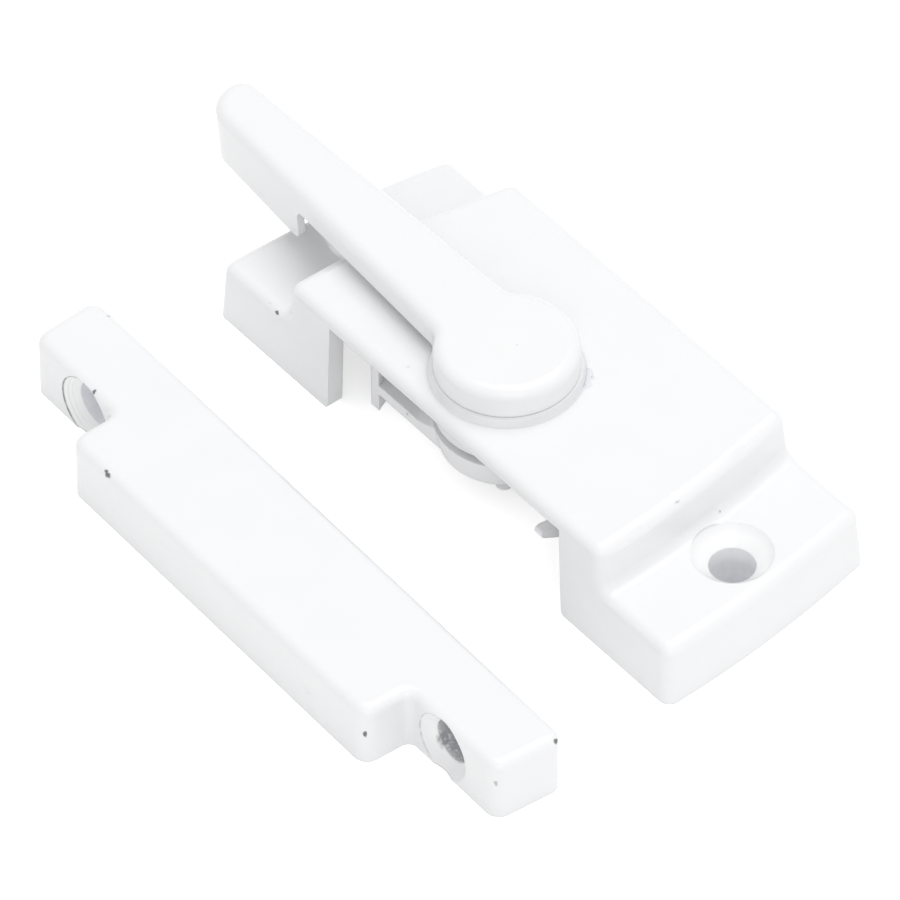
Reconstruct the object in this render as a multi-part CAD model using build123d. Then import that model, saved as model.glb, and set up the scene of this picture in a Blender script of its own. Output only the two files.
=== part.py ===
from build123d import *
import math
import os

# Sash lock: a cam lock that screws to the top of a lower sash, and its keeper.
# Millimetres. The origin is midway between the lock's two screw holes, on its mounting plane.
# +X runs along the lock to its bare end, the cam comes out towards -Y, +Z is up.

# Lock housing, outer form
screw_spacing = 52.6
body_width = 25.7
body_half_length = 32.6
end_arc_radius = 124.0
end_draft = 4.0
front_draft = 2.0
back_draft = 4.0
tab_height = 6.7
plate_height = 11.6
plate_half_length = 23.3
step_arc_radius = 112.0
step_draft = 5.0
body_edge_radius = 1.2

# Lock housing, walls and cut-outs
wall = 1.7
plate_thickness = 1.3
tab_thickness = 1.9
cavity_edge_radius = 0.8
opening_left = -16.3
opening_right = 16.7
opening_side_draft = 4.0
opening_corner_radius = 0.6
screw_hole_radius = 2.2
screw_head_radius = 3.85
screw_boss_radius = 4.7
screw_boss_draft = 2.0
rib_thickness = 1.2

# Pivot of the lever and the cam
pivot_x = -0.8
pivot_y = -4.15
pivot_bore_radius = 3.25
pivot_clearance = 0.05
collar_radius = 7.05
collar_foot_radius = 7.45
collar_foot_depth = 0.4
collar_height = 0.9
under_boss_radius = 6.8
under_boss_bottom = 6.8
lever_gap = 0.05

# Lever
lever_top = 15.6
lever_length = 42.5
hub_radius = 6.8
lever_root_front = 4.35
lever_root_back = 4.65
lever_tip_front = 1.72
lever_tip_back = 3.47
lever_tip_front_radius = 3.4
lever_tip_back_radius = 1.85
lever_draft = 4.0
lever_edge_radius = 1.2
hub_blend_radius = 2.0
lever_wall = 0.85
lever_top_thickness = 1.3
grip_reach = 27.6
grip_bottom = 8.5
grip_tip_lift = 0.8
grip_corner_radius = 0.9
grip_notch_radius = 0.9
hub_web = 1.0

# Drive end of the lever's spindle, below the plate
drive_across_flats = 4.4
drive_clearance = 0.03
peened_head_radius = 3.6
peened_head_height = 0.8
peened_head_bottom_radius = 2.9

# Cam: a half-moon plate with a tall hooked rim
cam_bottom = 3.2
cam_hub_height = 2.8
cam_hub_top_radius = 6.9
cam_hub_bottom_radius = 6.4
cam_flare_reach = 1.9
cam_flare_height = 1.4
cam_flare_bend = 0.4
cam_web_thickness = 1.2
cam_rim_radius = 13.9
cam_rim_thickness = 1.05
cam_rim_bottom = 0.75
cam_rim_top = 9.0
cam_rim_chamfer = 0.4
cam_front_offset = 5.85
cam_nose_offset = 11.5
cam_nose_step = -2.5
cam_nose_tip = -6.2
cam_nose_low = 3.7
cam_nose_high = 4.4
cam_nose_radius = 0.3
cam_lead_in_start = 30.0
cam_nib_angle = -42.0
cam_nib_radius = 0.8
cam_nib_height = 0.25

# Washers on the spindle
washer_bore_clearance = 0.15
washer_seat_gap = 0.03
retaining_washer_radius = 5.0
retaining_washer_thickness = 0.7
spring_washer_radius = 5.8
spring_washer_thickness = 0.3

# Keeper
keeper_x = -1.05
keeper_y = -25.15
keeper_yaw = -1.43
keeper_length = 70.3
keeper_height = 6.8
keeper_tab_depth = 7.6
keeper_block_length = 44.3
keeper_block_depth = 12.8
keeper_end_draft = 4.0
keeper_block_draft = 1.0
keeper_corner_radius = 1.5
keeper_edge_radius = 1.0
keeper_inner_radius = 1.0
keeper_screw_spacing = 53.6
keeper_screw_height = 3.2
keeper_hole_radius = 2.2
keeper_head_radius = 3.45
keeper_top_thickness = 1.8
keeper_lip_thickness = 2.0
keeper_end_wall = 3.0
keeper_pocket_draft = 2.0
keeper_pocket_radius = 0.8

# Sizes that follow from the ones above
far = 100.0
body_front = -body_width / 2
screw_x = screw_spacing / 2
plate_underside = plate_height - plate_thickness
collar_top = plate_height + collar_height
lever_underside = collar_top + lever_gap
spindle_radius = pivot_bore_radius - pivot_clearance
cam_top = cam_bottom + cam_hub_height
washer_bore_radius = spindle_radius + washer_bore_clearance
retaining_washer_bottom = cam_bottom - washer_seat_gap - retaining_washer_thickness
peened_head_top = retaining_washer_bottom - washer_seat_gap
pivot = Pos(pivot_x, pivot_y, 0)


def rise(height, angle):
    """Sideways travel of a drafted wall over a height."""
    return height * math.tan(math.radians(angle))


def is_level(edge, height):
    """True for an edge that lies at one height."""
    near = 0.01
    return abs((edge @ 0).Z - height) < near and abs((edge @ 1).Z - height) < near


def climbs(edge):
    """True for an edge that runs up a corner."""
    return abs((edge @ 0).Z - (edge @ 1).Z) > 1


def bowed_plan(half_length, arc_radius):
    """Plan with two bowed ends, square to the front line and much wider than the body."""
    side = 2 * body_width
    corner = half_length - arc_radius + math.sqrt(arc_radius**2 - side**2)
    with BuildSketch() as plan:
        with BuildLine():
            ThreePointArc((corner, body_front - side), (half_length, body_front), (corner, body_front + side))
            Line((corner, body_front + side), (-corner, body_front + side))
            ThreePointArc((-corner, body_front + side), (-half_length, body_front), (-corner, body_front - side))
            Line((-corner, body_front - side), (corner, body_front - side))
        make_face()
    return plan.sketch


def drafted_prism(inset, bottom, top):
    """Long bar along X between the drafted front and back planes."""
    half = body_width / 2 - inset
    points = [
        (-half + rise(bottom, front_draft), bottom),
        (half - rise(bottom, back_draft), bottom),
        (half - rise(top, back_draft), top),
        (-half + rise(top, front_draft), top),
    ]
    profile = Plane.YZ * make_face(Polyline(*points, close=True))
    return extrude(profile, amount=body_half_length + wall, both=True)


def stepped_form(inset, tab_top, plate_top):
    """Low tabs at both ends of a raised plate, all with bowed and drafted ends."""
    tabs = extrude(bowed_plan(body_half_length - inset, end_arc_radius - inset), amount=tab_top, taper=end_draft)
    plan = bowed_plan(plate_half_length - inset, step_arc_radius - inset)
    plate = extrude(plan, amount=plate_top, taper=step_draft)
    return drafted_prism(inset, 0, plate_top) & (tabs + plate)


def housing_outside():
    """The cast shell's outside, with every corner, rim and step foot rounded alike."""
    form = stepped_form(0, tab_height, plate_height)
    rounded = [e for e in form.edges() if climbs(e) or is_level(e, tab_height) or is_level(e, plate_height)]
    return fillet(rounded, body_edge_radius)


def housing_cavity():
    """The hollow inside, open at the mounting plane."""
    cavity = stepped_form(wall, tab_height - tab_thickness, plate_underside)
    corners = [e for e in cavity.edges() if climbs(e)]
    return fillet(corners, cavity_edge_radius)


def front_opening():
    """The gap in the front wall that the cam swings out through."""
    top = plate_underside
    slope = rise(top, opening_side_draft)
    points = [
        (opening_left, 0),
        (opening_right + slope, 0),
        (opening_right, top),
        (opening_left, top),
    ]
    profile = Plane.XZ * make_face(Polyline(*points, close=True))
    depth = body_width / 2 - pivot_y
    return Pos(0, -body_width / 2 + wall + body_edge_radius, 0) * extrude(profile, amount=depth, dir=(0, -1, 0))


def is_mouth_corner(edge):
    """True for the two lower corners of the front wall beside the opening."""
    right = opening_right + rise(plate_underside, opening_side_draft)
    near = 0.01
    beside = abs(edge.center().X - opening_left) < near or abs(edge.center().X - right) < near
    return beside and abs(edge.center().Z) < near and edge.length < wall + near


def screw_boss():
    """Tapered post under a screw hole, down to the mounting plane."""
    foot = screw_boss_radius
    head = foot + rise(tab_height - tab_thickness, screw_boss_draft)
    return Pos(0, 0, (tab_height - tab_thickness) / 2) * Cone(foot, head, tab_height - tab_thickness)


def screw_hole(hole_radius, head_radius):
    """Through hole with a 90 degree countersink, its mouth at the origin, cut along -Z."""
    sink = head_radius - hole_radius
    hole = Pos(0, 0, -far / 2) * Cylinder(hole_radius, far)
    mouth = Pos(0, 0, -sink / 2) * Cone(hole_radius, head_radius, sink)
    clear = Pos(0, 0, far / 2) * Cylinder(head_radius, far)
    return hole + mouth + clear


def housing():
    """Cast housing: hollow shell, screw bosses, pivot collar and the front opening."""
    shell = housing_outside() - housing_cavity()
    rib_height = tab_height - tab_thickness
    rib_length = body_half_length - wall - screw_x
    for side in (-1, 1):
        shell += Pos(side * screw_x, 0, 0) * screw_boss()
        middle = side * (screw_x + rib_length / 2)
        shell += Pos(middle, 0, rib_height / 2) * Box(rib_length, rib_thickness, rib_height)
    shell -= front_opening()
    mouth = [e for e in shell.edges() if is_mouth_corner(e)]
    shell = fillet(mouth, opening_corner_radius)
    rise_of_collar = collar_height + collar_foot_depth
    collar = Cone(collar_foot_radius, collar_radius, rise_of_collar)
    shell += pivot * Pos(0, 0, collar_top - rise_of_collar / 2) * collar
    drop = plate_underside - under_boss_bottom
    shell += pivot * Pos(0, 0, under_boss_bottom + drop / 2) * Cylinder(under_boss_radius, drop)
    shell -= pivot * Cylinder(pivot_bore_radius, far)
    for side in (-1, 1):
        shell -= Pos(side * screw_x, 0, tab_height) * screw_hole(screw_hole_radius, screw_head_radius)
    return shell


def lever_plan(inset):
    """Tapered handle seen from above, its root inside the hub and its tip rounder on the front."""
    end = -lever_length + inset
    points = [
        (0, lever_root_back - inset),
        (end, lever_tip_back - inset),
        (end, -lever_tip_front + inset),
        (0, -lever_root_front + inset),
    ]
    plan = make_face(Polyline(*points, close=True))
    tip = plan.vertices().group_by(Axis.X)[0].sort_by(Axis.Y)
    plan = fillet(tip[0], lever_tip_front_radius - inset)
    return fillet(plan.vertices().group_by(Axis.X)[0].sort_by(Axis.Y)[-1], lever_tip_back_radius - inset)


def drawn_down(plan, top, bottom):
    """Solid that hangs from a plan and narrows towards its bottom."""
    return extrude(Pos(0, 0, top) * plan, amount=top - bottom, dir=(0, 0, -1), taper=lever_draft)


def space_below():
    """Everything under the handle: below the arm, and below the grip's floor that rises to the tip."""
    tip = -lever_length - 1
    points = [
        (far, lever_underside),
        (-grip_reach, lever_underside),
        (-grip_reach, grip_bottom),
        (tip, grip_bottom + grip_tip_lift),
        (tip, -far),
        (far, -far),
    ]
    profile = make_face(Polyline(*points, close=True))
    steps = profile.vertices().filter_by(lambda v: abs(v.X + grip_reach) < 1).sort_by(Axis.Y)
    profile = fillet(steps[0], grip_corner_radius)
    steps = profile.vertices().filter_by(lambda v: abs(v.X + grip_reach) < 1).sort_by(Axis.Y)
    profile = fillet(steps[-1], grip_notch_radius)
    return extrude(Plane.XZ * profile, amount=hub_radius, both=True)


def handle():
    """The lever's handle: a thin arm over the plate, with a deep finger grip past it."""
    return drawn_down(lever_plan(0), lever_top, grip_bottom) - space_below()


def handle_hollow():
    """The channel under the handle, which makes it an open casting with even walls."""
    channel = drawn_down(lever_plan(lever_wall), lever_top - lever_top_thickness, grip_bottom)
    return channel - Cylinder(hub_radius + hub_web, far)


def lever():
    """Cast lever: handle, round hub, spindle and the peened end that holds the cam."""
    height = lever_top - lever_underside
    body = handle() + Pos(0, 0, lever_underside + height / 2) * Cylinder(hub_radius, height)
    root = [e for e in body.edges() if climbs(e) and -hub_radius < e.center().X < -hub_radius / 2]
    body = fillet(root, hub_blend_radius)
    rim = [e for e in body.edges() if is_level(e, lever_top)]
    body = fillet(rim, lever_edge_radius)
    body -= handle_hollow()
    body += Pos(0, 0, (lever_underside + under_boss_bottom) / 2) * Cylinder(
        spindle_radius, lever_underside - under_boss_bottom
    )
    drive_length = under_boss_bottom - peened_head_top
    drive = Box(drive_across_flats, drive_across_flats, drive_length)
    body += Pos(0, 0, peened_head_top + drive_length / 2) * drive
    head = Cone(peened_head_bottom_radius, peened_head_radius, peened_head_height)
    body += Pos(0, 0, peened_head_top - peened_head_height / 2) * head
    return pivot * body


def half_moon(radius):
    """Plan of the cam inside a radius: flat along its front, cut back beside its nose."""
    with BuildSketch() as plan:
        Circle(radius)
        with Locations((-far / 2, -cam_front_offset - far / 2)):
            Rectangle(far, far, mode=Mode.SUBTRACT)
        with Locations((cam_nose_offset / 2, cam_nose_step - far / 2)):
            Rectangle(cam_nose_offset, far, mode=Mode.SUBTRACT)
    return plan.sketch


def nose_relief():
    """Wedges above and below the leading part of the rim, so that it can slip into the keeper."""
    start = cam_rim_radius * math.sin(math.radians(cam_lead_in_start))
    end = cam_nose_tip - 1
    upper = [(start, cam_rim_top), (cam_nose_tip, cam_nose_high), (end, cam_nose_high), (end, far), (start, far)]
    lower = [(start, cam_rim_bottom), (cam_nose_tip, cam_nose_low), (end, cam_nose_low), (end, -far), (start, -far)]
    wedges = extrude(Plane.YZ * make_face(Polyline(*upper, close=True)), amount=far, dir=(1, 0, 0))
    wedges += extrude(Plane.YZ * make_face(Polyline(*lower, close=True)), amount=far, dir=(1, 0, 0))
    return wedges


def cam_moon():
    """The half-moon web with its tall rim, which thins to a rounded nose."""
    web = Pos(0, 0, cam_bottom) * extrude(half_moon(cam_rim_radius), amount=cam_web_thickness)
    rim_plan = half_moon(cam_rim_radius) - Circle(cam_rim_radius - cam_rim_thickness)
    rim = Pos(0, 0, cam_rim_bottom) * extrude(rim_plan, amount=cam_rim_top - cam_rim_bottom)
    moon = web + rim - nose_relief()
    beyond = Pos(cam_rim_radius, cam_nose_tip - far / 2, 0) * Box(cam_rim_radius, far, far)
    return moon - beyond


def cam_hub():
    """Tapered hub, and the hollow flare by which it rises out of the web."""
    hub = Pos(0, 0, cam_bottom + cam_hub_height / 2) * Cone(
        cam_hub_bottom_radius, cam_hub_top_radius, cam_hub_height
    )
    web_top = cam_bottom + cam_web_thickness
    foot = (cam_hub_bottom_radius + cam_flare_reach, web_top)
    bend = (cam_hub_bottom_radius + cam_flare_bend, web_top + cam_flare_bend)
    neck = (cam_hub_bottom_radius, web_top + cam_flare_height)
    with BuildSketch(Plane.XZ) as section:
        with BuildLine():
            Bezier(foot, bend, neck)
            Line(neck, (0, neck[1]))
            Line((0, neck[1]), (0, web_top))
            Line((0, web_top), foot)
        make_face()
    flare = revolve(section.sketch, Axis.Z)
    return hub + (flare & extrude(half_moon(cam_rim_radius), amount=far))


def is_rim_foot(edge):
    """True for the lower edges of the rim's hooked part."""
    return is_level(edge, cam_rim_bottom)


def is_nose_tip(edge):
    """True for the two level edges across the end of the nose."""
    ends = (edge @ 0, edge @ 1)
    near = 0.01
    at_tip = all(abs(end.Y - cam_nose_tip) < near for end in ends)
    return at_tip and abs(ends[0].Z - ends[1].Z) < near and edge.center().X > 0


def cam():
    """Cast cam: keyed hub, half-moon web and a hooked rim that thins to a nose."""
    moon = cam_moon()
    moon = chamfer([e for e in moon.edges() if is_rim_foot(e)], cam_rim_chamfer)
    moon = fillet([e for e in moon.edges() if is_nose_tip(e)], cam_nose_radius)
    solid = cam_hub() + moon
    nib = Pos(cam_hub_bottom_radius - cam_nib_radius / 2, 0, cam_bottom - cam_nib_height / 2)
    solid += Rot(0, 0, cam_nib_angle) * nib * Cylinder(cam_nib_radius, cam_nib_height)
    key = drive_across_flats + 2 * drive_clearance
    solid -= Pos(0, 0, cam_bottom + cam_hub_height / 2) * Box(key, key, cam_hub_height * 2)
    return pivot * solid


def retaining_washer():
    """Flat washer between the cam and the spindle's peened end."""
    ring = Cylinder(retaining_washer_radius, retaining_washer_thickness)
    hole = drive_across_flats + 2 * drive_clearance
    ring -= Box(hole, hole, far)
    return pivot * Pos(0, 0, retaining_washer_bottom + retaining_washer_thickness / 2) * ring


def spring_washer():
    """Dished spring washer between the housing's boss and the cam."""
    low = cam_top + washer_seat_gap
    high = under_boss_bottom - washer_seat_gap - spring_washer_thickness
    points = [
        (washer_bore_radius, low),
        (spring_washer_radius, high),
        (spring_washer_radius, high + spring_washer_thickness),
        (washer_bore_radius, low + spring_washer_thickness),
    ]
    section = Plane.XZ * make_face(Polyline(*points, close=True))
    return pivot * revolve(section, Axis.Z)


def keeper_plan():
    """Keeper seen from above: a long block between two tabs, all drafted away from the sash."""
    tab_half = keeper_length / 2
    block_half = keeper_block_length / 2
    tab_in = rise(keeper_tab_depth, keeper_end_draft)
    block_in = rise(keeper_block_depth - keeper_tab_depth, keeper_block_draft)
    points = [
        (-tab_half, 0),
        (-tab_half + tab_in, -keeper_tab_depth),
        (-block_half, -keeper_tab_depth),
        (-block_half + block_in, -keeper_block_depth),
        (block_half - block_in, -keeper_block_depth),
        (block_half, -keeper_tab_depth),
        (tab_half - tab_in, -keeper_tab_depth),
        (tab_half, 0),
    ]
    return make_face(Polyline(*points, close=True))


def keeper_pocket():
    """The hollow behind the keeper's lip that the cam's rim turns into, open below and behind."""
    length = keeper_block_length - 2 * keeper_end_wall
    depth = keeper_block_depth - keeper_lip_thickness
    height = keeper_height - keeper_top_thickness
    mouth = extrude(Rectangle(length, 2 * depth), amount=height, taper=keeper_pocket_draft)
    mouth = fillet([e for e in mouth.edges() if climbs(e)], keeper_pocket_radius)
    return mouth


def at_notch(edge):
    """True for the two inner corners where the block stands out from the tabs."""
    near = 0.05
    across = abs(abs(edge.center().X) - keeper_block_length / 2) < near
    return across and abs(edge.center().Y + keeper_tab_depth) < near


def is_outer_corner(edge):
    """True for the upright corners of the tabs and the block."""
    return climbs(edge) and not at_notch(edge)


def keeper():
    """Cast keeper: rounded block with a hollow behind its lip, and two side screw holes."""
    solid = extrude(keeper_plan(), amount=keeper_height)
    solid = fillet([e for e in solid.edges() if is_outer_corner(e)], keeper_corner_radius)
    inner = [e for e in solid.edges() if climbs(e) and at_notch(e)]
    solid = fillet(inner, keeper_inner_radius)
    solid = fillet([e for e in solid.edges() if is_level(e, keeper_height)], keeper_edge_radius)
    solid -= keeper_pocket()
    for side in (-1, 1):
        hole = Rot(90, 0, 0) * screw_hole(keeper_hole_radius, keeper_head_radius)
        solid -= Pos(side * keeper_screw_spacing / 2, -keeper_tab_depth, keeper_screw_height) * hole
    return Pos(keeper_x, keeper_y, 0) * Rot(0, 0, keeper_yaw) * solid


os.makedirs("parts", exist_ok=True)
nodes = {
    "housing": housing(),
    "lever": lever(),
    "cam": cam(),
    "retaining_washer": retaining_washer(),
    "spring_washer": spring_washer(),
    "keeper": keeper(),
}
for name, solid in nodes.items():
    export_step(solid, f"parts/{name}.step")
    box = solid.bounding_box()
    print(name, len(solid.solids()), "solid", round(solid.volume, 1), "mm3", box.min, box.max)
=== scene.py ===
# %% [markdown]
# # A white sash lock, finished from its CAD model
# The lock is six castings and stampings that were drawn in CAD: the housing, the lever, the cam, two
# washers and the keeper. Their shapes are right already, so this lesson gives them what CAD leaves out:
# the sprayed enamel with its orange peel, the places where the enamel has chipped off, and the bare
# metal under it.

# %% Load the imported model
from collections import namedtuple
from math import cos, radians, sin

import bmesh
import bpy
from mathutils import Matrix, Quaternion, Vector

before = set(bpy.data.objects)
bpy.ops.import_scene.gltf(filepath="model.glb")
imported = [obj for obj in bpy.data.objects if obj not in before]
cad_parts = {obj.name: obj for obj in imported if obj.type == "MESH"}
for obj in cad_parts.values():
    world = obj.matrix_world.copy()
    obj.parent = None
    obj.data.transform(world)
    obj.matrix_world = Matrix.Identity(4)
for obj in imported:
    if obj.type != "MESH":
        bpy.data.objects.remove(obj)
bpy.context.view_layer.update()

MILLIMETRE = 0.001

print("nodes:", ", ".join(sorted(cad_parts)))

# %% [markdown]
# ## The camera
# The catalogue picture looks down on the lock at 46 degrees, from the end that the lever leaves free,
# through a long lens: the far and the near screw hole come out almost equally large. A camera could be
# aimed by hand, or by a constraint. Here its turn is worked out from three angles, because an angle is
# what one reads off a photograph.

# %% Set up the camera
aim = Vector((-5.067, -7.479, 0)) * MILLIMETRE
azimuth = radians(-38.89)
elevation = radians(46.06)
roll = -0.009
distance = 1293.2 * MILLIMETRE
sensor_width = 36
focal_length = 562.7

outward = Vector((cos(elevation) * cos(azimuth), cos(elevation) * sin(azimuth), sin(elevation)))
camera_data = bpy.data.cameras.new("catalogue_camera")
camera_data.sensor_width = sensor_width
camera_data.lens = focal_length
camera = bpy.data.objects.new("catalogue_camera", camera_data)
camera.rotation_mode = "QUATERNION"
camera.rotation_quaternion = outward.to_track_quat("Z", "Y") @ Quaternion((0, 0, 1), roll)
camera.location = aim + outward * distance
bpy.context.collection.objects.link(camera)
bpy.context.scene.camera = camera
bpy.context.scene.view_settings.view_transform = "Standard"
print("camera at", tuple(round(v, 4) for v in camera.location))

# %% [markdown]
# ## One brightness for each kind of ray
# The page has to be white in the picture, but light that bright from all round would wash out the lock.
# A photo studio solves this with more lamps on the background than on the object, and an artist could
# render the two apart. Here the Light Path node tells which ray asks, and each kind gets a brightness
# of its own.

# %% Helper for the brightness
def brightness_by_ray(tree, on_lock, in_mirrors, to_camera):
    """Brightness of the light that falls on the lock, of its reflections, and of the page itself."""
    rays = tree.nodes.new("ShaderNodeLightPath")
    direct = tree.nodes.new("ShaderNodeMapRange")
    direct.inputs["To Min"].default_value = on_lock
    direct.inputs["To Max"].default_value = to_camera
    tree.links.new(rays.outputs["Is Camera Ray"], direct.inputs["Value"])
    mirrored = tree.nodes.new("ShaderNodeMath")
    mirrored.operation = "MULTIPLY"
    mirrored.inputs[1].default_value = in_mirrors
    tree.links.new(rays.outputs["Is Glossy Ray"], mirrored.inputs[0])
    brighter = tree.nodes.new("ShaderNodeMath")
    brighter.operation = "MAXIMUM"
    tree.links.new(direct.outputs["Result"], brighter.inputs[0])
    tree.links.new(mirrored.outputs[0], brighter.inputs[1])
    return brighter.outputs[0]


print("brightness helper ready")

# %% [markdown]
# ## The table
# The lock stands on a white light table that runs out of the picture on every side. A sheet under soft
# light alone is never quite as white as the page, and the hollows of the lock would be too dark. A
# light table glows a little from below. To the camera it glows more than on the lock, so that the page
# is white but the lock still has its shadow on it.

# %% Lay the white sheet
SHEET_HALF = 3.0
SHEET_WHITE = (0.88, 0.88, 0.88, 1)
GLOW_WHITE = (1, 1, 1, 1)

sheet_mesh = bpy.data.meshes.new("white_sheet")
sheet = bpy.data.objects.new("white_sheet", sheet_mesh)
bpy.context.collection.objects.link(sheet)
shape = bmesh.new()
bmesh.ops.create_grid(shape, x_segments=1, y_segments=1, size=SHEET_HALF)
shape.to_mesh(sheet_mesh)
shape.free()
print("sheet is", 2 * SHEET_HALF, "m wide")

# %% Make the sheet glow
sheet_finish = bpy.data.materials.new("white_sheet")
sheet_finish.use_nodes = True
tree = sheet_finish.node_tree
tree.nodes.clear()
glow_amount = brightness_by_ray(tree, on_lock=0.10, in_mirrors=0.25, to_camera=0.58)
paper = tree.nodes.new("ShaderNodeBsdfDiffuse")
paper.inputs["Color"].default_value = SHEET_WHITE
glow = tree.nodes.new("ShaderNodeEmission")
glow.inputs["Color"].default_value = GLOW_WHITE
tree.links.new(glow_amount, glow.inputs["Strength"])
both = tree.nodes.new("ShaderNodeAddShader")
tree.links.new(paper.outputs[0], both.inputs[0])
tree.links.new(glow.outputs[0], both.inputs[1])
sheet_out = tree.nodes.new("ShaderNodeOutputMaterial")
tree.links.new(both.outputs[0], sheet_out.inputs["Surface"])
sheet_mesh.materials.append(sheet_finish)
print("the sheet has", len(tree.nodes), "shader nodes")

# %% [markdown]
# ## The light
# White enamel on a white page needs very soft light. A light tent gives it: light from all round, a
# little more from above, and least from the front, so that the front faces stay a shade darker than the
# tops. The tent could be modelled, but a plain world and two large lamps do the same and render faster.

# %% Light the tent
world = bpy.data.worlds.new("light_tent")
bpy.context.scene.world = world
world.use_nodes = True
tree = world.node_tree
tree.nodes.clear()
tent_level = brightness_by_ray(tree, on_lock=0.74, in_mirrors=0.85, to_camera=1.0)
tent = tree.nodes.new("ShaderNodeBackground")
tent.inputs["Color"].default_value = (1.0, 1.0, 1.0, 1)
tree.links.new(tent_level, tent.inputs["Strength"])
tent_out = tree.nodes.new("ShaderNodeOutputWorld")
tree.links.new(tent.outputs[0], tent_out.inputs["Surface"])
print("the tent has", len(tree.nodes), "shader nodes")


# %% Hang the two lamps
def soft_lamp(name, place, size, watts):
    """A square lamp that faces the lock; its place and size are in metres."""
    data = bpy.data.lights.new(name, "AREA")
    data.size = size
    data.energy = watts
    lamp = bpy.data.objects.new(name, data)
    lamp.location = place
    lamp.rotation_mode = "QUATERNION"
    lamp.rotation_quaternion = Vector(place).to_track_quat("Z", "Y")
    bpy.context.collection.objects.link(lamp)
    print(name, watts, "W at", place)


soft_lamp("top_lamp", (0.00, 0.20, 0.95), size=0.7, watts=3.6)
soft_lamp("end_lamp", (0.75, -0.48, 0.45), size=0.6, watts=1.35)

# %% [markdown]
# ## Paint and metal helpers
# Every finish here starts from the same few steps: a pattern that is fixed to the piece in real
# millimetres, a mask where the paint is gone, and a little height for the light to catch. Object
# coordinates are used, not a UV map, because a casting is one skin with no seams.

# %% Helpers for patterns
def new_finish(name):
    """An empty material with a Principled shader and the piece's own coordinates."""
    finish = bpy.data.materials.new(name)
    finish.use_nodes = True
    tree = finish.node_tree
    tree.nodes.clear()
    out = tree.nodes.new("ShaderNodeOutputMaterial")
    shader = tree.nodes.new("ShaderNodeBsdfPrincipled")
    tree.links.new(shader.outputs[0], out.inputs["Surface"])
    coordinates = tree.nodes.new("ShaderNodeTexCoord")
    return finish, tree, shader, coordinates.outputs["Object"]


def noise_of(tree, place, grain_mm, detail):
    """A Noise node whose lumps are about grain_mm across."""
    noise = tree.nodes.new("ShaderNodeTexNoise")
    noise.inputs["Scale"].default_value = 1 / (grain_mm * MILLIMETRE)
    noise.inputs["Detail"].default_value = detail
    tree.links.new(place, noise.inputs["Vector"])
    return noise


def grain(tree, place, grain_mm, detail=2.0):
    """Noise from 0 to 1, most of it near the middle."""
    return noise_of(tree, place, grain_mm, detail).outputs["Fac"]


def ramp(tree, value, span, to=(0.0, 1.0)):
    """Stretch a value from the ends of span to the ends of to, and stop there."""
    node = tree.nodes.new("ShaderNodeMapRange")
    node.inputs["From Min"].default_value, node.inputs["From Max"].default_value = span
    node.inputs["To Min"].default_value, node.inputs["To Max"].default_value = to
    tree.links.new(value, node.inputs["Value"])
    return node.outputs["Result"]


print("pattern helpers ready")

# %% [markdown]
# ## Sums, mixes and bumps
# Masks are added, multiplied and compared, colours are mixed, and a height becomes a bump. Each takes
# one node, but several lines to set it up. A node group could hold them as well. A function is easier
# to read beside the finish that uses it.

# %% Helpers for single nodes
def combine(tree, how, first, second=0.0):
    """One Math node; each side is a socket or a number."""
    node = tree.nodes.new("ShaderNodeMath")
    node.operation = how
    for side, value in zip(node.inputs, (first, second)):
        if isinstance(value, float):
            side.default_value = value
        else:
            tree.links.new(value, side)
    return node.outputs[0]


def vector_step(tree, how, first, second):
    """One Vector Math node; the second side is a socket or a vector."""
    node = tree.nodes.new("ShaderNodeVectorMath")
    node.operation = how
    tree.links.new(first, node.inputs[0])
    if isinstance(second, bpy.types.NodeSocket):
        tree.links.new(second, node.inputs[1])
    else:
        node.inputs[1].default_value = second
    return node.outputs["Vector"]


def length_of(tree, vector):
    """The length of a vector."""
    node = tree.nodes.new("ShaderNodeVectorMath")
    node.operation = "LENGTH"
    tree.links.new(vector, node.inputs[0])
    return node.outputs["Value"]


def blend_colour(tree, amount, below, above):
    """Mix two colours, each a socket or an RGB triple."""
    node = tree.nodes.new("ShaderNodeMix")
    node.data_type = "RGBA"
    tree.links.new(amount, node.inputs[0])
    for side, colour in ((node.inputs[6], below), (node.inputs[7], above)):
        if isinstance(colour, tuple):
            side.default_value = (*colour, 1)
        else:
            tree.links.new(colour, side)
    return node.outputs[2]


def relief(tree, height, depth_mm, under=None):
    """A bump whose full height is depth_mm, laid over another bump."""
    node = tree.nodes.new("ShaderNodeBump")
    node.inputs["Strength"].default_value = 1.0
    node.inputs["Distance"].default_value = depth_mm * MILLIMETRE
    tree.links.new(height, node.inputs["Height"])
    if under:
        tree.links.new(under, node.inputs["Normal"])
    return node.outputs["Normal"]


print("node helpers ready")

# %% [markdown]
# ## Where the enamel is chipped
# A chip is a small ragged island where the paint has come off a corner or a tool has touched it. It
# could be cut into the mesh, but it is thinner than a hair. It is a mask instead: every point nearer to
# the chip's middle than its radius, measured in coordinates that noise has pushed about, so that its
# outline is torn and not round.

# %% Helpers for chips
# A spot has a middle and half-sizes in millimetres, and a depth: how far the paint is gone
Spot = namedtuple("Spot", "middle size depth", defaults=[1.0])
NOISE_MIDDLE = (0.5, 0.5, 0.5)
TORN_DETAIL = 3
SPOT_SOFTNESS = 0.25


def torn(tree, place, push_mm, grain_mm):
    """Coordinates pushed about by noise, so that outlines drawn in them come out ragged."""
    noise = noise_of(tree, place, grain_mm, TORN_DETAIL)
    centred = vector_step(tree, "SUBTRACT", noise.outputs["Color"], NOISE_MIDDLE)
    push = 2 * push_mm * MILLIMETRE
    scaled = vector_step(tree, "MULTIPLY", centred, (push, push, push))
    return vector_step(tree, "ADD", place, scaled)


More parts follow.
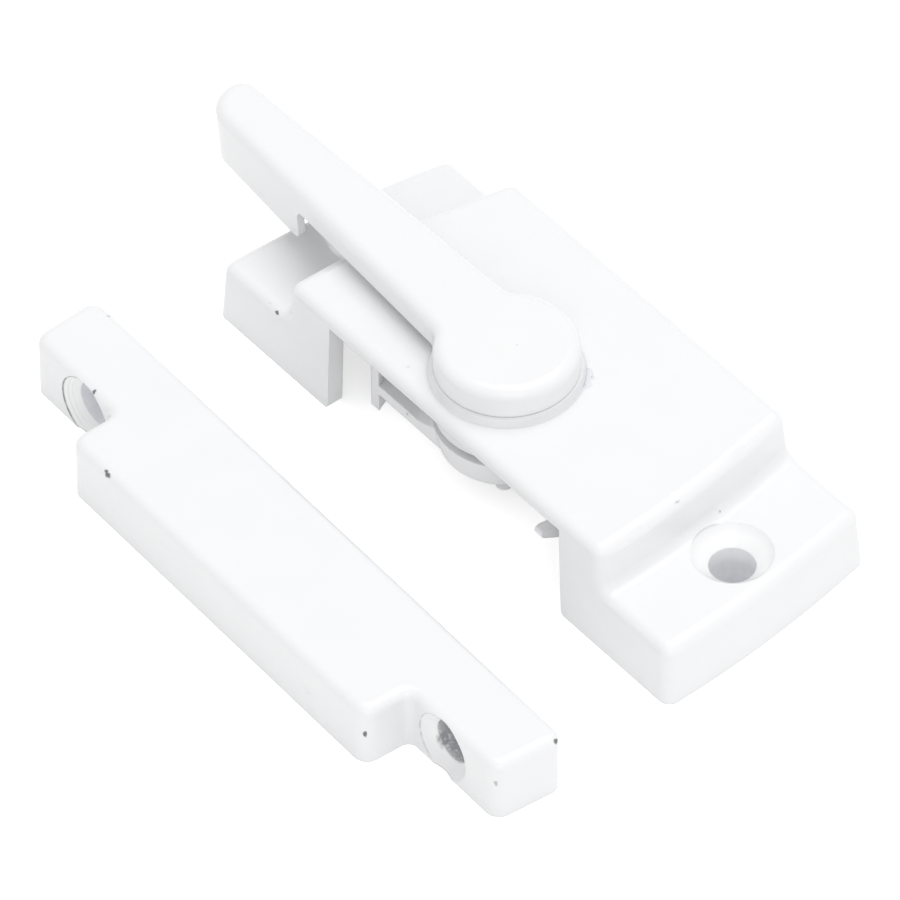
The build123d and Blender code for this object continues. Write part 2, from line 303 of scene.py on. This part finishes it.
def island(tree, place, spot):
    """1 inside the spot's ellipsoid, 0 outside."""
    moved = vector_step(tree, "SUBTRACT", place, Vector(spot.middle) * MILLIMETRE)
    squeezed = vector_step(tree, "DIVIDE", moved, Vector(spot.size) * MILLIMETRE)
    return ramp(tree, length_of(tree, squeezed), (1 + SPOT_SOFTNESS, 1 - SPOT_SOFTNESS))


def islands(tree, place, spots):
    """All the spots of a list as one mask."""
    mask = None
    for spot in spots:
        one = combine(tree, "MULTIPLY", island(tree, place, spot), spot.depth)
        mask = one if mask is None else combine(tree, "MAXIMUM", mask, one)
    return mask


print("chip helpers ready")

# %% [markdown]
# ## Marks round a hole
# Marks round a hole or a collar follow a circle, not a spot: the dark line round a countersink, the bare
# spindle, the painted shade on the collar, and the painted light in the holes and countersinks. A ring
# mark is drawn from the distance to the hole's axis. Because such a circle would run through the whole
# piece like a tube, a second, large spot keeps the mark to the place where it belongs. Painting by hand
# would do too, but a ring is exactly as round as the hole.

# %% Helpers for rings
# A ring lies across two of the three directions, and its side is the spot that it is kept to
Ring = namedtuple("Ring", "middle across radius side width depth", defaults=[0.0, 1.0])
FLAT = (1, 1, 0)
UPRIGHT = (1, 0, 1)
DISC_SOFTNESS = 0.04
LINE_CORE = 0.3


def around(tree, place, middle_mm, across):
    """Distance in metres from a hole's axis; across is 1 for the two directions that count."""
    moved = vector_step(tree, "SUBTRACT", place, Vector(middle_mm) * MILLIMETRE)
    return length_of(tree, vector_step(tree, "MULTIPLY", moved, across))


def disc(tree, distance, radius_mm):
    """1 nearer than the radius, 0 beyond it."""
    outer = (radius_mm + DISC_SOFTNESS) * MILLIMETRE
    inner = (radius_mm - DISC_SOFTNESS) * MILLIMETRE
    return ramp(tree, distance, (outer, inner))


def hoop(tree, distance, radius_mm, width_mm):
    """1 on a thin ring, fading to 0 at width_mm on both its sides."""
    off = combine(tree, "ABSOLUTE", combine(tree, "SUBTRACT", distance, radius_mm * MILLIMETRE))
    return ramp(tree, off, (width_mm * MILLIMETRE, LINE_CORE * width_mm * MILLIMETRE))


def rings(tree, place, marks):
    """All the rings of a list as one mask. A ring with no width is a full disc."""
    mask = None
    for mark in marks:
        distance = around(tree, place, mark.middle, mark.across)
        if mark.width:
            one = hoop(tree, distance, mark.radius, mark.width)
        else:
            one = disc(tree, distance, mark.radius)
        kept = combine(tree, "MULTIPLY", one, island(tree, place, mark.side))
        kept = combine(tree, "MULTIPLY", kept, mark.depth)
        mask = kept if mask is None else combine(tree, "MAXIMUM", mask, kept)
    return mask


print("ring helpers ready")

# %% [markdown]
# ## White enamel over zinc
# The castings are sprayed with white enamel and baked. It flows before it sets, so it is smooth with a
# faint orange peel about a millimetre across, on the slow waves of the casting under it. Its white
# drifts a little where it lies thicker, and it has a soft gloss. The countersinks are painted whiter,
# with painted light that fills their shade. An edge that the spray has covered is never quite sharp. It
# could be bevelled in the mesh, but the Bevel node rounds its shading and leaves the CAD shape alone.

# %% Colours of the enamel and the metal
ENAMEL = (0.862, 0.866, 0.874)
ENAMEL_THICK = (0.853, 0.857, 0.867)
# Painted light that fills the shade in the countersinks
COUNTERSINK_PAINTED_LIGHT = (0.95, 0.952, 0.955)
# Painted shade for the collar under the hub
SHADE_UNDER_HUB = (0.70, 0.71, 0.73)
SCUFFED = (0.75, 0.76, 0.79)
SCUFF_SPOTS = (0.56, 0.58, 0.62)
# Bluish zinc, painted much lighter than zinc: painted light that fills the shade in the screw holes
LIT_BORE_PALE = (0.92, 0.93, 0.96)
LIT_BORE_GREY = (0.82, 0.85, 0.90)
CHIP_GREY = (0.175, 0.176, 0.180)
BARE_GREY = (0.44, 0.445, 0.455)
# Painted glints: light spots in the bare metal's colour
BARE_PAINTED_GLINT = (0.80, 0.84, 0.90)
print("the enamel is", ENAMEL)

# %% Sizes of the patterns in the paint
PAINT_THICKNESS = 0.06
DRIFT_SIZE = 6.0
GLOSS_SIZE = 2.2
WAVE_SIZE = 4.5
WAVE_HEIGHT = 0.035
PEEL_SIZE = 0.9
PEEL_HEIGHT = 0.0085
SMOOTH_TO_DULL = (0.17, 0.27)
SMOOTH_TO_CHIPPED = (0.22, 0.55)
HUB_SHADE_STRENGTH = (0.6, 1.0)
LINE_STRENGTH = (0.35, 1.0)
BEVEL_SAMPLES = 4

# Which part of the noise counts: nearly all of it, its broad middle, its lower half or its peaks
WHOLE = (0.30, 0.70)
MIDDLE = (0.35, 0.65)
LOWER_HALF = (0.30, 0.52)
HIGH_SPOTS = (0.52, 0.68)
RARE_SPOTS = (0.60, 0.66)
# A mask runs from 0 to 1
MASK = (0.0, 1.0)
print("the orange peel is", PEEL_SIZE, "mm across")


# %% The enamel
def smooth_enamel(tree, place, painted_light_factor, edge_mm):
    """Colour, drift of the colour, gloss and bump of enamel with nothing wrong with it."""
    # A factor above 1 lightens the colour as painted light; at 1 the enamel keeps its own white
    body = tuple(painted_light_factor * c for c in ENAMEL)
    thick = tuple(painted_light_factor * c for c in ENAMEL_THICK)
    drift = ramp(tree, grain(tree, place, DRIFT_SIZE, detail=3.0), MIDDLE)
    colour = blend_colour(tree, drift, body, thick)
    gloss = ramp(tree, grain(tree, place, GLOSS_SIZE, detail=4.0), WHOLE, SMOOTH_TO_DULL)
    rounded = tree.nodes.new("ShaderNodeBevel")
    rounded.samples = BEVEL_SAMPLES
    rounded.inputs["Radius"].default_value = edge_mm * MILLIMETRE
    soft_edges = rounded.outputs["Normal"]
    waves = relief(tree, grain(tree, place, WAVE_SIZE, detail=1.0), WAVE_HEIGHT, under=soft_edges)
    skin = relief(tree, grain(tree, place, PEEL_SIZE, detail=1.5), PEEL_HEIGHT, under=waves)
    return colour, drift, gloss, skin


def enamel(name, chips=(), scuffs=(), hub_shade_rings=(), lines=(), lit_countersinks=(), bores=(), bare=(), bare_bores=(),
           painted_light_factor=1.0, edge_mm=0.15):
    """White enamel, with a list for each kind of place where it is chipped, scuffed, thin or missing, or
    where shade or light is painted in.
    """
    finish, tree, shader, place = new_finish(name)
    colour, drift, gloss, skin = smooth_enamel(tree, place, painted_light_factor, edge_mm)
    # Painted shade: a grey band on the collar's side, where the hub above shades it
    if hub_shade_rings:
        hub_shade_mask = combine(tree, "MULTIPLY", rings(tree, place, hub_shade_rings), ramp(tree, drift, MASK, HUB_SHADE_STRENGTH))
        colour = blend_colour(tree, hub_shade_mask, colour, SHADE_UNDER_HUB)
    if lit_countersinks:
        # Painted light: the countersinks are painted whiter to fill their shade
        colour = blend_colour(tree, rings(tree, place, lit_countersinks), colour, COUNTERSINK_PAINTED_LIGHT)
    if scuffs:
        area = islands(tree, torn(tree, place, push_mm=0.25, grain_mm=0.8), scuffs)
        colour = blend_colour(tree, area, colour, SCUFFED)
        spots = ramp(tree, grain(tree, place, 0.45, detail=1.0), RARE_SPOTS)
        colour = blend_colour(tree, combine(tree, "MULTIPLY", area, spots), colour, SCUFF_SPOTS)
        skin = relief(tree, combine(tree, "SUBTRACT", 1.0, area), PAINT_THICKNESS, under=skin)
    if lines:
        broken = ramp(tree, grain(tree, place, 0.8), LOWER_HALF, LINE_STRENGTH)
        edge = combine(tree, "MULTIPLY", rings(tree, place, lines), broken)
        colour = blend_colour(tree, edge, colour, CHIP_GREY)
    # Bluish zinc in the screw holes, painted lighter as painted light against their shade
    if bores:
        metal = rings(tree, place, bores)
        streaks = ramp(tree, grain(tree, place, 0.7, detail=3.0), MIDDLE)
        colour = blend_colour(tree, metal, colour, blend_colour(tree, streaks, LIT_BORE_GREY, LIT_BORE_PALE))
    if bare:
        metal = islands(tree, torn(tree, place, push_mm=0.45, grain_mm=0.55), bare)
        metal = combine(tree, "MAXIMUM", metal, rings(tree, place, bare_bores))
        # Painted glints: light spots mixed into the bare metal's colour and raised a little in its bump
        painted_glints = ramp(tree, grain(tree, place, 0.35), HIGH_SPOTS)
        colour = blend_colour(tree, metal, colour, blend_colour(tree, painted_glints, BARE_GREY, BARE_PAINTED_GLINT))
        skin = relief(tree, combine(tree, "MULTIPLY", metal, painted_glints), PAINT_THICKNESS, under=skin)
    if chips:
        gone = islands(tree, torn(tree, place, push_mm=0.16, grain_mm=0.30), chips)
        colour = blend_colour(tree, gone, colour, CHIP_GREY)
        gloss = ramp(tree, gone, MASK, SMOOTH_TO_CHIPPED)
        skin = relief(tree, combine(tree, "SUBTRACT", 1.0, gone), PAINT_THICKNESS, under=skin)
    tree.links.new(colour, shader.inputs["Base Color"])
    tree.links.new(gloss, shader.inputs["Roughness"])
    tree.links.new(skin, shader.inputs["Normal"])
    print(name, "has", len(tree.nodes), "shader nodes")
    return finish


# %% Put a finish on a piece
def wear(node, finish):
    """Give a CAD node its finish in place of the plain one it came with."""
    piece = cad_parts[node]
    if not piece.material_slots:
        piece.data.materials.append(finish)
    for slot in piece.material_slots:
        slot.material = finish
    print(node, "is finished in", finish.name)


print("pieces to finish:", len(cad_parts))

# %% [markdown]
# ## The housing
# The largest casting has a dark chip on its far tab and a grey scuff by the near end of its plate. Its
# collar gets a grey band of painted shade where the lever's hub shades it. Beside the collar the
# casting's skin shows through, bluish and pitted. Enamel hardly gets into the screw holes, so they are
# bluish as well. The holes and their countersinks are also painted lighter, with painted light that
# fills their shade.

# %% Places on the housing, in millimetres
PIVOT_X, PIVOT_Y = -0.8, -4.15
SCREWS_X = (26.3, -26.3)
PLATE_TOP = 11.6
LEVER_TOP = 15.6
COLLAR_RADIUS = 7.25
SCREW_HOLE_RADIUS = 2.2
HOUSING_CONE_RADIUS = 3.75

# A dark and a faint one on the far tab, one on the near step's edge, one at its foot, one on the plate
housing_chips = [
    Spot((-24.16, -12.42, 6.21), (0.26, 0.20, 0.16)),
    Spot((-25.42, -12.23, 6.41), (0.18, 0.14, 0.14), 0.13),
    Spot((21.53, -2.60, 11.27), (0.10, 0.27, 0.12), 0.36),
    Spot((21.86, 2.13, 7.05), (0.10, 0.12, 0.12), 0.46),
    Spot((-6.96, -10.79, PLATE_TOP), (0.13, 0.13, 0.13), 0.22),
]
# Three that overlap, beside the collar
housing_scuffs = [
    Spot((3.95, 1.55, PLATE_TOP), (0.45, 0.45, 0.25), 0.65),
    Spot((4.60, 0.95, PLATE_TOP), (0.50, 0.50, 0.25), 0.75),
    Spot((5.20, 0.35, PLATE_TOP), (0.45, 0.50, 0.25), 0.65),
]
# Painted shade on the collar's side, under the hub
collar_side = Spot((PIVOT_X, PIVOT_Y, 12.05), (12, 12, 0.55))
housing_hub_shade = [Ring((PIVOT_X, PIVOT_Y, 0), FLAT, COLLAR_RADIUS, collar_side, width=0.45, depth=0.55)]
print(len(housing_chips), "chips and", len(housing_scuffs), "scuffs on the housing")

# %% Finish the housing
# The screw holes are bluish zinc, painted lighter to fill their shade
housing_bores = [
    Ring((x, 0, 0), FLAT, SCREW_HOLE_RADIUS, Spot((x, 0, 0.0), (6, 6, 3.4)))
    for x in SCREWS_X
]
# Painted light in the countersinks, whiter than the enamel
housing_countersink_light = [
    Ring((x, 0, 0), FLAT, HOUSING_CONE_RADIUS, Spot((x, 0, 5.0), (6, 6, 1.6)), depth=0.85)
    for x in SCREWS_X
]
wear("housing", enamel(
    "housing_enamel", chips=housing_chips, scuffs=housing_scuffs, hub_shade_rings=housing_hub_shade, lit_countersinks=housing_countersink_light,
    bores=housing_bores,
))

# %% [markdown]
# ## The lever
# The lever was sprayed on its own. Its spindle and the end that is hammered over under the cam have no
# enamel: that end was closed when the lock was put together, and has stayed bare. The same casting
# could be given two materials, but the bare part is a mask like the chips, so that its torn edge is
# easy to move.

# %% Finish the lever
lever_chips = [Spot((0.24, -3.82, LEVER_TOP), (0.14, 0.14, 0.14), 0.12)]
# The bare spindle and hammered end get painted glints as well
lever_bare = [Spot((PIVOT_X, PIVOT_Y, 2.0), (3.9, 3.9, 1.0))]
lever_spindle = [Ring((PIVOT_X, PIVOT_Y, 0), FLAT, 4.5, Spot((PIVOT_X, PIVOT_Y, 3.4), (6.0, 6.0, 3.2)))]
wear("lever", enamel("lever_enamel", chips=lever_chips, bare=lever_bare, bare_bores=lever_spindle))

# %% [markdown]
# ## The cam
# The half-moon under the plate has the same enamel, but its thin rim looks whiter and rounder than the
# shade under the plate would make it. It could have a lamp of its own, which would spoil the shade. A
# touch more white, painted light that lifts the cam out of its shade, and a wider rounding than on the
# other castings do the same on the cam alone.

# %% Finish the cam
cam_chips = [Spot((-8.15, -10.0, 3.95), (0.14, 0.15, 0.17), 0.55)]
# The cam's white is raised as painted light that lifts it out of the shade under the plate
wear("cam", enamel("cam_enamel", chips=cam_chips, painted_light_factor=1.06, edge_mm=0.25))

# %% [markdown]
# ## The keeper
# The keeper has lost the most paint: dark chips on its edges, faint scuffs along its front, and the
# screw holes. The far hole is bluish like the housing's and is painted lighter in the same way, with a
# dark line round its countersink where the enamel stops. In the near hole dark bare metal shows, torn at
# the edge, with painted glints in it. Both countersinks are painted lighter, with painted light that
# fills their shade.

# %% Places on the keeper, in millimetres
NEAR_HOLE = (25.6, 0, 3.2)
FAR_HOLE = (-28.0, 0, 3.2)
KEEPER_CONE_RADIUS = 3.3

# One at the far hole, two that overlap on the block's top edge, a faint one on the back edge, one on
# the block's near corner and two on the end of the near tab
keeper_chips = [
    Spot((-26.74, -31.86, 6.46), (0.15, 0.26, 0.24)),
    Spot((-18.10, -37.31, 6.50), (0.26, 0.20, 0.18)),
    Spot((-17.72, -37.38, 6.36), (0.34, 0.24, 0.24)),
    Spot((-33.37, -24.93, 6.71), (0.16, 0.16, 0.16), 0.43),
    Spot((20.29, -38.04, 3.73), (0.18, 0.20, 0.38)),
    Spot((33.68, -26.84, 6.25), (0.18, 0.32, 0.30)),
    Spot((32.96, -33.24, 4.48), (0.16, 0.16, 0.32), 0.50),
]
keeper_scuffs = [
    Spot((-8.9, -38.2, 4.4), (1.3, 0.5, 0.5), 0.22),
    Spot((-6.5, -38.2, 3.6), (0.9, 0.5, 0.3), 0.16),
    Spot((12.4, -38.6, 2.9), (1.1, 0.5, 0.6), 0.24),
]
keeper_bare = [
    Spot((24.05, -31.75, 2.05), (0.62, 0.8, 0.90)),
    Spot((24.90, -31.50, 1.50), (0.45, 0.6, 0.45)),
]
print(len(keeper_chips), "chips and", len(keeper_scuffs), "scuffs on the keeper")

# %% Finish the keeper
near_rim = Spot((23.0, -32.4, 3.2), (1.9, 1.2, 4.0))
far_rim = Spot((-30.6, -32.4, 3.2), (1.9, 1.2, 4.0))
far_cone = Spot((-30.2, -32.0, 2.2), (1.7, 1.4, 3.4))
far_bore = Spot((-28.0, -28.5, 3.2), (4, 5, 4))
near_bore = Spot((25.6, -28.0, 3.2), (4, 5, 4))
keeper_lines = [
    Ring(NEAR_HOLE, UPRIGHT, 3.40, near_rim, width=0.10, depth=0.45),
    Ring(FAR_HOLE, UPRIGHT, 3.41, far_rim, width=0.085, depth=0.90),
    Ring(FAR_HOLE, UPRIGHT, 3.05, far_cone, width=0.06, depth=0.15),
    Ring(FAR_HOLE, UPRIGHT, 2.75, far_cone, width=0.05, depth=0.12),
]
# Painted light in both countersinks, whiter than the enamel
keeper_countersink_light = [
    Ring(FAR_HOLE, UPRIGHT, KEEPER_CONE_RADIUS, Spot((-28.0, -31.5, 3.2), (4, 2.0, 4))),
    Ring(NEAR_HOLE, UPRIGHT, KEEPER_CONE_RADIUS, Spot((25.6, -31.5, 3.2), (4, 2.0, 4))),
]
# The far hole's bore: bluish zinc, painted lighter to fill its shade
keeper_bores = [Ring(FAR_HOLE, UPRIGHT, SCREW_HOLE_RADIUS, far_bore, depth=0.95)]
keeper_bare_bores = [Ring(NEAR_HOLE, UPRIGHT, 2.25, near_bore)]
wear("keeper", enamel(
    "keeper_enamel", chips=keeper_chips, scuffs=keeper_scuffs, lines=keeper_lines, lit_countersinks=keeper_countersink_light,
    bores=keeper_bores, bare=keeper_bare, bare_bores=keeper_bare_bores,
))

# %% [markdown]
# ## The washers
# Both washers are stamped from steel. One is blackened and one has the colour of spring steel, and
# little of them shows round the cam. Their marks could be drawn as rings, but on parts this small and
# this dark, fine noise in the colour, the gloss and the height looks the same.

# %% Finish the washers
MARK_SIZE = 0.25
MARK_HEIGHT = 0.01
MARK_SHADE = 0.8
MARK_DULLNESS = 0.12


def washer_steel(name, colour, roughness):
    """Dark or bright steel with fine marks in it."""
    finish, tree, shader, place = new_finish(name)
    marks = grain(tree, place, MARK_SIZE, detail=4.0)
    shaded = tuple(MARK_SHADE * c for c in colour)
    shader.inputs["Metallic"].default_value = 1.0
    tree.links.new(blend_colour(tree, marks, colour, shaded), shader.inputs["Base Color"])
    dullness = ramp(tree, marks, WHOLE, (roughness, roughness + MARK_DULLNESS))
    tree.links.new(dullness, shader.inputs["Roughness"])
    tree.links.new(relief(tree, marks, MARK_HEIGHT), shader.inputs["Normal"])
    return finish


wear("retaining_washer", washer_steel("blackened_steel", (0.10, 0.10, 0.105), roughness=0.34))
wear("spring_washer", washer_steel("spring_steel", (0.30, 0.29, 0.28), roughness=0.34))
